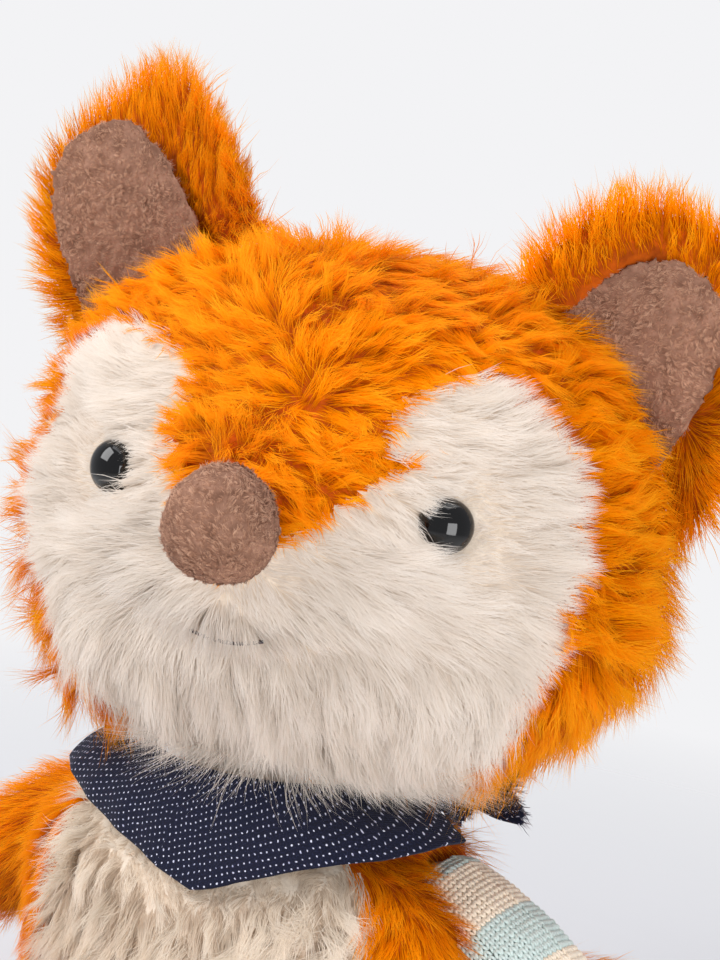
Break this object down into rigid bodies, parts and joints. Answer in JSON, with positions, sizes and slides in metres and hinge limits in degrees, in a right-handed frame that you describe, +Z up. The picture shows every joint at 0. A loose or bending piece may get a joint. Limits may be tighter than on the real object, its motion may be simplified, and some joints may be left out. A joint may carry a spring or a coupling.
{
  "type": "plush fox",
  "caption": "Sitting stuffed fox of long-pile plush with cupped lined ears, ball nose, domed eyes, a striped knitted arm and a tied neckerchief; its head, limbs and tail swing at their seams.",
  "frame": {"origin": "on the flat seat face under the torso, in the middle plane of the toy", "axes": "+Z up; the body faces -Y, and the head is turned 16 degrees to the fox's left, which is +X"},
  "size_m": [0.2432, 0.2564, 0.2838],
  "materials": {
    "orange_plush": "long cut pile, soft and matt",
    "cream_plush": "longer shaggy pile, soft and matt",
    "brown_felt": "short felted nap, matt",
    "striped_knit": "fine stocking-stitch knit in mint and cream bands",
    "dotted_chambray": "woven navy cotton with small woven white dots",
    "black_plastic": "polished black",
    "pale_nylon": "moulded, matt"
  },
  "bodies": {
    "torso": {"torso": "orange_plush", "belly_panel": "cream_plush", "neckerchief": "dotted_chambray", "neckerchief_knot": "dotted_chambray", "neckerchief_end_side": "dotted_chambray", "neckerchief_end_back": "dotted_chambray"},
    "neck": {"neck": "orange_plush"},
    "head": {"head": "orange_plush", "face_panel": "cream_plush", "nose": "brown_felt", "eye_left": "black_plastic", "eye_right": "black_plastic", "eye_washer_left": "pale_nylon", "eye_washer_right": "pale_nylon", "ear_left": "orange_plush", "ear_right": "orange_plush", "ear_lining_left": "brown_felt", "ear_lining_right": "brown_felt"},
    "arm_left": {"arm_left": "striped_knit"},
    "arm_right": {"arm_right": "orange_plush"},
    "leg_left": {"leg_left": "orange_plush"},
    "leg_right": {"leg_right": "orange_plush"},
    "tail": {"tail": "orange_plush", "tail_tip": "cream_plush"}
  },
  "joints": [
    {"name": "head_turn", "type": "hinge", "parent": "torso", "child": "neck", "pos_m": [0, -0.006, 0.112], "axis": [0, 0, 1], "range_deg": [-35, 35]},
    {"name": "head_nod", "type": "hinge", "parent": "neck", "child": "head", "pos_m": [0, -0.006, 0.112], "axis": [0.9613, 0.2756, 0], "range_deg": [-8, 5]},
    {"name": "arm_left_raise", "type": "hinge", "parent": "torso", "child": "arm_left", "pos_m": [0.05, 0.008, 0.078], "axis": [0, -1, 0], "range_deg": [0, 35]},
    {"name": "arm_right_raise", "type": "hinge", "parent": "torso", "child": "arm_right", "pos_m": [-0.05, 0.008, 0.078], "axis": [0, 1, 0], "range_deg": [0, 35]},
    {"name": "leg_left_lift", "type": "hinge", "parent": "torso", "child": "leg_left", "pos_m": [0.033, -0.032, 0.0205], "axis": [-0.9397, -0.342, 0], "range_deg": [0, 30]},
    {"name": "leg_right_lift", "type": "hinge", "parent": "torso", "child": "leg_right", "pos_m": [-0.033, -0.032, 0.0205], "axis": [-0.9397, 0.342, 0], "range_deg": [0, 30]},
    {"name": "tail_sway", "type": "hinge", "parent": "torso", "child": "tail", "pos_m": [0, 0.04, 0.023], "axis": [0, 0, 1], "range_deg": [-20, 20]}
  ]
}
